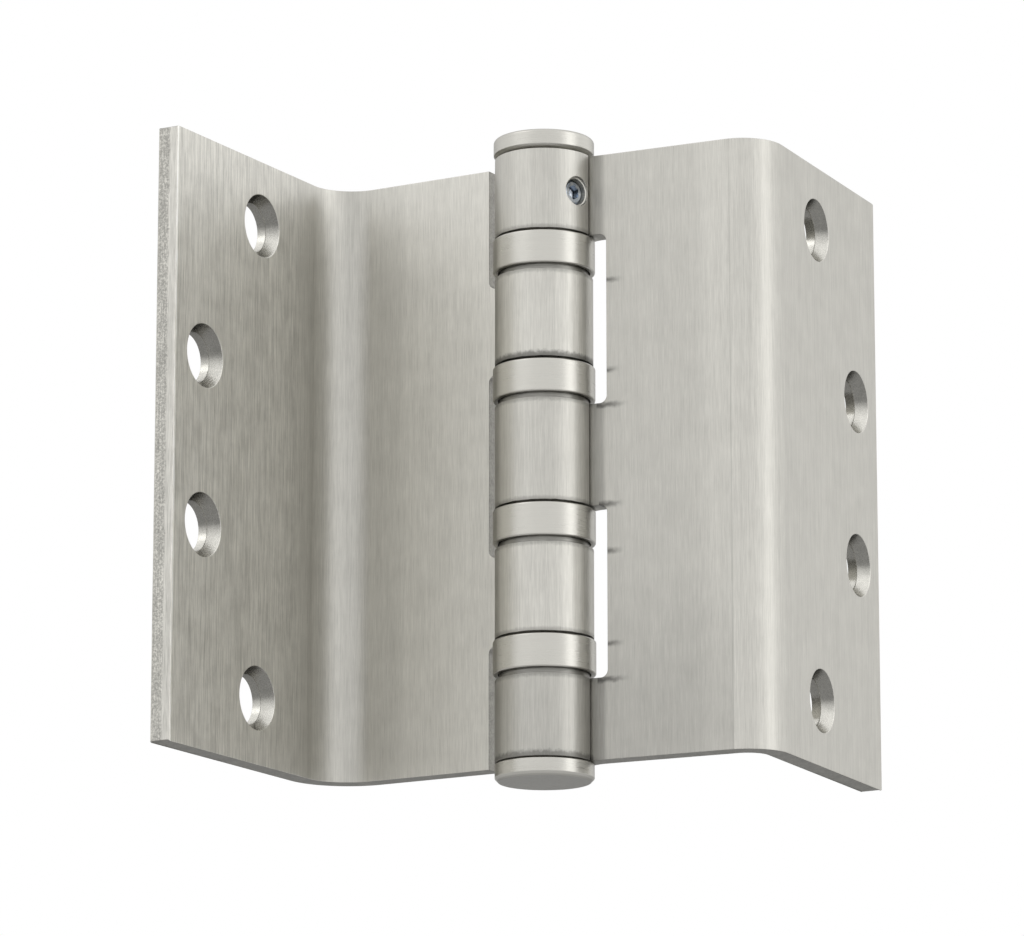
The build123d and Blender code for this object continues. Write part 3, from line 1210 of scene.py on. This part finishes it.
@dataclass
class PinAndPlug:
    """Hinge pin with its button head, and the plug that closes the barrel below."""

    barrel: Barrel
    finish: Steel
    pin_gap: float = 0.05
    tip_rounding: float = 0.4
    neck_h: float = 0.8
    neck_inset: float = 0.75
    head_edge: float = 0.25
    head_rounding: float = 0.6
    groove_half: float = 1.75
    groove_depth: float = 0.9
    plug_neck_h: float = 0.35
    plug_neck_inset: float = 0.5
    plug_neck_edge: float = 0.12
    plug_chamfer: float = 0.7
    plug_rounding: float = 0.3
    plug_fit: float = 0.02

    def pin(self) -> TurnedPiece:
        """Pin with its head and the groove for the set screw."""
        low, top = self.barrel.above_foot("hinge_pin")
        pin_r = self.barrel.bore_r - self.pin_gap
        groove_r = pin_r - self.groove_depth
        groove_low, groove_high = (FrameLeaf.screw_z + side * self.groove_half for side in (-1, 1))
        seat, wide = self.barrel.height, self.barrel.head_r
        corners = [
            (0, low, 0),
            (pin_r, low, self.tip_rounding),
            (pin_r, groove_low, 0),
            (groove_r, groove_low, 0),
            (groove_r, groove_high, 0),
            (pin_r, groove_high, 0),
            (pin_r, seat, 0),
            (self.barrel.knuckle_r - self.neck_inset, seat, 0),
            (wide, seat + self.neck_h, self.head_edge),
            (wide, top, self.head_rounding),
            (0, top, 0),
        ]
        names = ("button_head_pin", "hinge_pin")
        return TurnedPiece(*names, Body.FRAME, Slot.PIN, corners, self.finish)

    def plug(self) -> TurnedPiece:
        """Plug with its flat face below."""
        low, top = self.barrel.above_foot("bottom_plug")
        shank_r = self.barrel.bore_r - self.plug_fit
        wide, rounding = self.barrel.knuckle_r, self.plug_rounding
        corners = [
            (0, top, 0),
            (shank_r, top, rounding),
            (shank_r, 0, 0),
            (wide - self.plug_neck_inset, 0, 0),
            (wide, -self.plug_neck_h, self.plug_neck_edge),
            (wide, low + self.plug_chamfer, rounding),
            (wide - self.plug_chamfer, low, rounding),
            (0, low, 0),
        ]
        names = ("button_plug", "bottom_plug")
        return TurnedPiece(*names, Body.FRAME, Slot.PIN, corners, self.finish)


@dataclass
class SetScrew:
    """Set screw with a hexagon socket, sunk in the top knuckle."""

    barrel: Barrel
    finish: Steel
    screw_r: float = 2.4
    dog_r: float = 1.6
    dog_rounding: float = 0.2
    tip: float = 4.25
    shoulder: float = 5.35
    shoulder_h: float = 0.5
    recess: float = 1.25
    rim: float = 0.5
    rim_rounding: float = 0.1
    face_rounding: float = 0.12
    socket_r: float = 1.4
    socket_depth: float = 1.6

    def build(self, effects: Effects) -> Piece:
        """Make the screw along Z, turn it into its hole and dress it.

        Args:
            effects: the shared surface effects.

        Returns:
            The finished piece.
        """
        outer = self.barrel.knuckle_r - self.recess
        corners = (
            (0, self.tip, 0),
            (self.dog_r, self.tip, self.dog_rounding),
            (self.dog_r, self.shoulder, 0),
            (self.screw_r, self.shoulder + self.shoulder_h, 0),
            (self.screw_r, outer - self.rim, self.rim_rounding),
            (self.screw_r - self.rim, outer, self.face_rounding),
            (0, outer, 0),
        )
        piece = turned("zinc_plated_screw", corners, steps=72)
        r, low, above = self.socket_r, outer - self.socket_depth, outer + 1
        hexagon = [(0, low - r / 2), (r, low), (r, above), (0, above)]
        cut(piece, [lathe("socket", hexagon, steps=6)])
        shade(piece)
        in_hole = radial(FrameLeaf.screw_z, FrameLeaf.screw_azimuth)
        piece.data.transform(self.barrel.placed() @ in_hole)
        material = self.finish.material(effects, self.barrel.foot)
        return dress(piece, Body.FRAME, ["set_screw"], [material])


@dataclass
class Bearing:
    """Smooth cover and lower race of one ball bearing, counted from the top."""

    barrel: Barrel
    number: int
    cover_finish: Steel
    race_finish: Steel
    wall: float = 0.95
    top: float = 1.1
    lip_rounding: float = 0.12
    rim_rounding: float = 0.35
    boss_inset: float = 1.85
    boss_h: float = 0.35
    boss_rounding: float = 0.08
    bore_gap: float = 0.25
    race_gap: float = 0.2
    race_rounding: float = 0.1
    race_foot_rounding: float = 0.15

    def body(self, lower: bool) -> Body:
        """Body that carries the cover, or the lower race."""
        return Body.FRAME if (self.number % 2 == 1) is not lower else Body.DOOR

    def cover(self) -> TurnedPiece:
        """Cover that hides the balls, with the raised seat on it."""
        node = f"bearing_cover_{self.number}"
        low, high = self.barrel.above_foot(node)
        bore, wide = self.barrel.bore_r + self.bore_gap, self.barrel.cover_r
        inside, boss_r = wide - self.wall, wide - self.boss_inset
        shoulder = high - self.boss_h
        ceiling = shoulder - self.top
        corners = [
            (bore, ceiling, 0),
            (inside, ceiling, 0),
            (inside, low, self.lip_rounding),
            (wide, low, self.rim_rounding),
            (wide, shoulder, self.rim_rounding),
            (boss_r, shoulder, 0),
            (boss_r, high, self.boss_rounding),
            (bore, high, self.boss_rounding),
        ]
        name = f"smooth_collar_{self.number}"
        return TurnedPiece(name, node, self.body(False), Slot.COLLAR, corners, self.cover_finish)

    def race(self) -> TurnedPiece:
        """Lower race, of which a thin ring shows."""
        node = f"lower_race_{self.number}"
        low, high = self.barrel.above_foot(node)
        bore, rounding = self.barrel.bore_r + self.bore_gap, self.race_rounding
        wide = self.barrel.cover_r - self.wall - self.race_gap
        corners = [
            (bore, low, rounding),
            (wide, low, self.race_foot_rounding),
            (wide, high, rounding),
            (bore, high, rounding),
        ]
        name = f"thin_race_{self.number}"
        return TurnedPiece(name, node, self.body(True), Slot.RACE, corners, self.race_finish)


@dataclass
class BallRings:
    """Rings of balls, one in each bearing."""

    barrel: Barrel
    finish: Steel
    count: int = 6
    ball_r: float = 1.0
    fineness: int = 4

    @staticmethod
    def tree() -> bpy.types.GeometryNodeTree:
        """Node tree that sets a ring of balls on each point that it is given."""
        tree = bpy.data.node_groups.new("ball_rings", "GeometryNodeTree")
        sockets = {
            "Centres": "Geometry",
            "Balls in a ring": "Int",
            "Ring radius": "Float",
            "Ball radius": "Float",
            "Ball fineness": "Int",
            "Finish": "Material",
        }
        for name, kind in sockets.items():
            tree.interface.new_socket(name=name, in_out="INPUT", socket_type=f"NodeSocket{kind}")
        tree.interface.new_socket(name="Rings", in_out="OUTPUT", socket_type="NodeSocketGeometry")
        wires = Wiring(tree)
        given = wires.node("NodeGroupInput").outputs
        sizes = {"Vertices": given["Balls in a ring"], "Radius": given["Ring radius"]}
        ring = wires.node("GeometryNodeMeshCircle", sizes)
        sizes = {"Radius": given["Ball radius"], "Subdivisions": given["Ball fineness"]}
        ball = wires.node("GeometryNodeMeshIcoSphere", sizes)
        smooth = wires.node("GeometryNodeSetShadeSmooth", {"Geometry": ball.outputs["Mesh"]})
        feeds = {"Points": ring.outputs["Mesh"], "Instance": smooth.outputs["Geometry"]}
        balls = wires.node("GeometryNodeInstanceOnPoints", feeds)
        feeds = {"Points": given["Centres"], "Instance": balls.outputs["Instances"]}
        rings = wires.node("GeometryNodeInstanceOnPoints", feeds)
        real = wires.node("GeometryNodeRealizeInstances", {"Geometry": rings.outputs["Instances"]})
        feeds = {"Geometry": real.outputs["Geometry"], "Material": given["Finish"]}
        finish = wires.node("GeometryNodeSetMaterial", feeds)
        wires.node("NodeGroupOutput", {"Rings": finish.outputs["Geometry"]})
        return tree

    def build(self, effects: Effects) -> Piece:
        """Set the balls into the bearings and dress them.

        Args:
            effects: the shared surface effects.

        Returns:
            The finished piece.
        """
        low, _ = self.barrel.above_foot("bearing_balls")
        lift = low + self.ball_r - self.barrel.levels[-1]
        mesh = bpy.data.meshes.new("ring_centres")
        mesh.from_pydata([(0, 0, level + lift) for level in self.barrel.levels], [], [])
        piece = mesh_object("ball_rings", mesh)
        material = self.finish.material(effects, self.barrel.foot)
        values = {
            "Balls in a ring": self.count,
            "Ring radius": self.barrel.radius("bearing_balls") - self.ball_r,
            "Ball radius": self.ball_r,
            "Ball fineness": self.fineness,
            "Finish": material,
        }
        step = piece.modifiers.new("rings", "NODES")
        step.node_group = self.tree()
        for socket in step.node_group.interface.items_tree:
            if socket.in_out == "INPUT" and socket.name in values:
                step[socket.identifier] = values[socket.name]
        settle(piece)
        piece.data.transform(self.barrel.placed())
        return dress(piece, Body.BALLS, ["bearing_balls"], [material])


@dataclass(frozen=True)
class Lamp:
    """Soft lamp that faces the hinge, placed in metres from its middle."""

    name: str
    place: tuple[float, float, float]
    size: Point
    power: float

    def build(self, target: Vector) -> None:
        """Add the lamp and turn it to its target."""
        data = bpy.data.lights.new(self.name, "AREA")
        data.shape = "RECTANGLE"
        data.size, data.size_y = self.size
        data.energy = self.power
        lamp = bpy.data.objects.new(self.name, data)
        offset = Vector(self.place)
        lamp.location = target + offset
        lamp.rotation_euler = offset.to_track_quat("Z", "Y").to_euler()
        bpy.context.scene.collection.objects.link(lamp)


@dataclass
class Studio:
    """Camera, lamps, floor and white surroundings."""

    yaw: float = 25.492
    pitch: float = 12.86
    distance: float = 1016.6
    right: float = 5.962
    up: float = 1.724
    focal_px: float = 5500.0
    frame_px: float = 1024.0
    sensor: float = 36.0
    clip: Point = (0.01, 20.0)
    floor_drop: float = 0.45
    floor_half: float = 4.0
    floor_roughness: float = 0.7
    diffuse_light: float = 0.6
    lamps: tuple[Lamp, ...] = (
        Lamp("strip", (1.3, -0.05, 0.3), (0.56, 1.4), 2.2),
        Lamp("overhead", (-0.55, -0.9, 0.8), (0.8, 0.6), 1.3),
        Lamp("back", (0.7, 1.1, 0.45), (0.9, 0.9), 0.5),
    )

    def camera(self, middle: Vector) -> None:
        """Set the camera at the angle of the photograph.

        Args:
            middle: middle of the pin axis in metres.
        """
        yaw, pitch = radians(self.yaw), radians(self.pitch)
        right = Vector((cos(yaw), sin(yaw), 0))
        level = Vector((-sin(yaw), cos(yaw), 0))
        ahead = level * cos(pitch) + Vector((0, 0, sin(pitch)))
        above = level * -sin(pitch) + Vector((0, 0, cos(pitch)))
        data = bpy.data.cameras.new("camera")
        data.sensor_width = self.sensor
        data.lens = self.focal_px * self.sensor / self.frame_px
        data.clip_start, data.clip_end = self.clip
        place = middle - (right * self.right + above * self.up + ahead * self.distance) * MM
        turn = Matrix((right, above, -ahead)).transposed().to_4x4()
        camera = bpy.data.objects.new("camera", data)
        camera.matrix_world = Matrix.Translation(place) @ turn
        bpy.context.scene.collection.objects.link(camera)
        bpy.context.scene.camera = camera

    def world(self) -> None:
        """White surroundings for the camera, and a plainer level for the light."""
        world = bpy.data.worlds.new("surroundings")
        bpy.context.scene.world = world
        wires = Wiring.of(world)
        path = wires.node("ShaderNodeLightPath").outputs
        seen = wires.math("MAXIMUM", path["Is Camera Ray"], path["Is Transmission Ray"])
        seen = wires.math("MAXIMUM", seen, path["Is Glossy Ray"])
        shown = wires.math("MULTIPLY", seen, 1 - self.diffuse_light)
        strength = wires.math("ADD", self.diffuse_light, shown)
        light = wires.node("ShaderNodeBackground", {"Color": grey(1.0), "Strength": strength})
        wires.node("ShaderNodeOutputWorld", {"Surface": light.outputs[0]})

    def floor(self, middle: Vector) -> None:
        """Lay a pale floor well below the hinge."""
        work = bmesh.new()
        bmesh.ops.create_grid(work, x_segments=1, y_segments=1, size=self.floor_half)
        plane = from_bmesh("floor", work)
        plane.location = (middle.x, middle.y, middle.z - self.floor_drop)
        material = bpy.data.materials.new("pale_floor")
        wires = Wiring.of(material)
        feeds = {"Base Color": grey(0.9), "Roughness": self.floor_roughness}
        shader = wires.node("ShaderNodeBsdfPrincipled", feeds)
        wires.node("ShaderNodeOutputMaterial", {"Surface": shader.outputs[0]})
        plane.data.materials.append(material)

    def build(self, middle: Vector) -> None:
        """Set up everything around the hinge."""
        self.camera(middle)
        self.world()
        self.floor(middle)
        for lamp in self.lamps:
            lamp.build(middle)
        bpy.context.scene.view_settings.view_transform = "Standard"


def report(piece: Piece) -> None:
    """Log a finished piece and its number of faces."""
    log.info("%s: %d faces", piece.name, len(piece.data.polygons))


def build_barrel(barrel: Barrel, effects: Effects) -> None:
    """Build the pin, the plug, the bearings and their balls.

    Args:
        barrel: place and sizes of the barrel.
        effects: the shared surface effects.
    """
    # Painted shade on the plug's downward face.
    underside_shade = Band(Axis.UP, barrel.above_foot("bottom_plug")[0], reach=0.2, fade=0.25, tone=0.74)
    pin_steel = Steel(
        "turned_pin_steel", warm_grey(0.61), warm_grey(0.55), 0.3, Grain.TURNED, bands=(underside_shade,)
    )
    cover_steel = Steel("smooth_collar_steel", warm_grey(0.61), warm_grey(0.575), 0.3, Grain.TURNED)
    race_steel = Steel("oiled_race_steel", warm_grey(0.34), warm_grey(0.2), 0.32, Grain.TURNED)
    ball_steel = Steel(
        "ball_steel", (0.72, 0.73, 0.74, 1), (0.64, 0.65, 0.66, 1), 0.12, Grain.PLAIN
    )
    shaded_top = Band(Axis.UP, FrameLeaf.screw_z + 1.3, reach=0.5, fade=1.0, tone=0.5)
    screw_steel = Steel(
        "zinc_plated_screw", (0.96, 0.98, 1.0, 1), (0.4, 0.48, 0.6, 1), 0.16, Grain.PLAIN,
        line_width=0.9, mottle_size=1.4, mottle_share=0.5, bands=(shaded_top,),
    )
    ends = PinAndPlug(barrel, pin_steel)
    pieces = [ends.pin(), ends.plug()]
    for number in range(1, len(barrel.levels) + 1):
        bearing = Bearing(barrel, number, cover_steel, race_steel)
        pieces += [bearing.cover(), bearing.race()]
    for item in pieces:
        report(item.build(barrel, effects))
    for item in (SetScrew(barrel, screw_steel), BallRings(barrel, ball_steel)):
        report(item.build(effects))


def dress_carried(frame: dict[str, Any], barrel: Barrel, effects: Effects) -> None:
    """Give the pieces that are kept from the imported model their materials.

    Args:
        barrel: place and sizes of the barrel.
        effects: the shared surface effects.
    """
    cage = Steel(
        "pressed_cage_steel", (0.58, 0.57, 0.53, 1), (0.44, 0.43, 0.4, 1), 0.35, Grain.PLAIN
    )
    race = Steel(
        "upper_race_steel", (0.56, 0.55, 0.52, 1), (0.45, 0.44, 0.42, 1), 0.3, Grain.TURNED
    )
    for start, steel in (("ball_cage", cage), ("upper_race", race)):
        material = steel.material(effects, barrel.foot)
        for node, carried in frame["nodes"].items():
            if node.startswith(start):
                for slot in carried.material_slots:
                    slot.material = material
                log.info("%s: carried over", node)


def main() -> None:
    """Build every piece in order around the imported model."""
    logging.basicConfig(level=logging.INFO, format="%(name)s: %(message)s")
    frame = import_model()
    barrel = Barrel.from_frame(frame)
    effects = Effects()
    for leaf in (FrameLeaf(barrel=barrel), DoorLeaf(barrel=barrel)):
        report(leaf.build(effects))
    build_barrel(barrel, effects)
    dress_carried(frame, barrel, effects)
    Studio().build((barrel.foot + Vector((0, 0, barrel.height / 2))) * MM)


if __name__ == "__main__":
    main()
